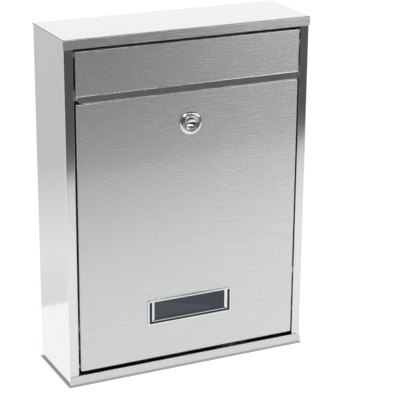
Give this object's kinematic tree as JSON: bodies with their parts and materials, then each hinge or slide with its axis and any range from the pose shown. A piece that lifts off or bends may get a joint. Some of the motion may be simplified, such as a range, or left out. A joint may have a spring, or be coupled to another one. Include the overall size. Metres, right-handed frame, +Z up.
{
  "type": "wall mounted mailbox",
  "caption": "Stainless steel wall mailbox with a top-hinged letter flap, a bottom-hinged locking door, a cam lock and a name plate.",
  "frame": {"origin": "middle of the four wall holes, on the back face of the box", "axes": "+X to the right seen from the front, +Y into the wall, +Z up; the front faces -Y"},
  "size_m": [0.222, 0.074, 0.3],
  "materials": {
    "brushed_sheet": "brushed stainless",
    "plain_sheet": "mill finish stainless",
    "zinc_hardware": "bright zinc plate",
    "chrome_plate": "polished chrome plate",
    "brass_parts": "plain brass",
    "rubber_pads": "matt black",
    "clear_window": "clear acrylic",
    "card_insert": "slate grey card",
    "black_plastic": "moulded"
  },
  "bodies": {
    "box": {"body_shell": "brushed_sheet", "top_panel": "brushed_sheet", "bottom_panel": "brushed_sheet", "crossbar": "plain_sheet", "flap_bracket_left": "plain_sheet", "flap_bracket_right": "plain_sheet", "flap_rod": "zinc_hardware", "rod_clips": "zinc_hardware", "flap_buffers": "rubber_pads", "door_bracket_left": "plain_sheet", "door_bracket_right": "plain_sheet", "door_pin_left": "zinc_hardware", "door_pin_right": "zinc_hardware", "door_stops": "plain_sheet", "door_buffers": "rubber_pads"},
    "flap": {"flap_panel": "brushed_sheet"},
    "door": {"door_panel": "brushed_sheet", "lock_housing": "chrome_plate", "lock_washer": "zinc_hardware", "lock_nut": "brass_parts", "name_frame": "chrome_plate", "name_window": "clear_window", "name_card": "card_insert", "name_backplate": "black_plastic"},
    "lock_core": {"lock_plug": "chrome_plate", "lock_wafers": "brass_parts", "lock_cam": "zinc_hardware", "cam_washer": "zinc_hardware", "cam_screw": "zinc_hardware"}
  },
  "joints": [
    {"name": "flap_swing", "type": "hinge", "parent": "box", "child": "flap", "pos_m": [0, -0.0665, 0.137], "axis": [-1, 0, 0], "range_deg": [0, 100]},
    {"name": "door_swing", "type": "hinge", "parent": "box", "child": "door", "pos_m": [0, -0.0655, -0.1337], "axis": [1, 0, 0], "range_deg": [0, 110]},
    {"name": "lock_turn", "type": "hinge", "parent": "door", "child": "lock_core", "pos_m": [0, -0.06, 0.07], "axis": [0, 1, 0], "range_deg": [0, 90]}
  ]
}
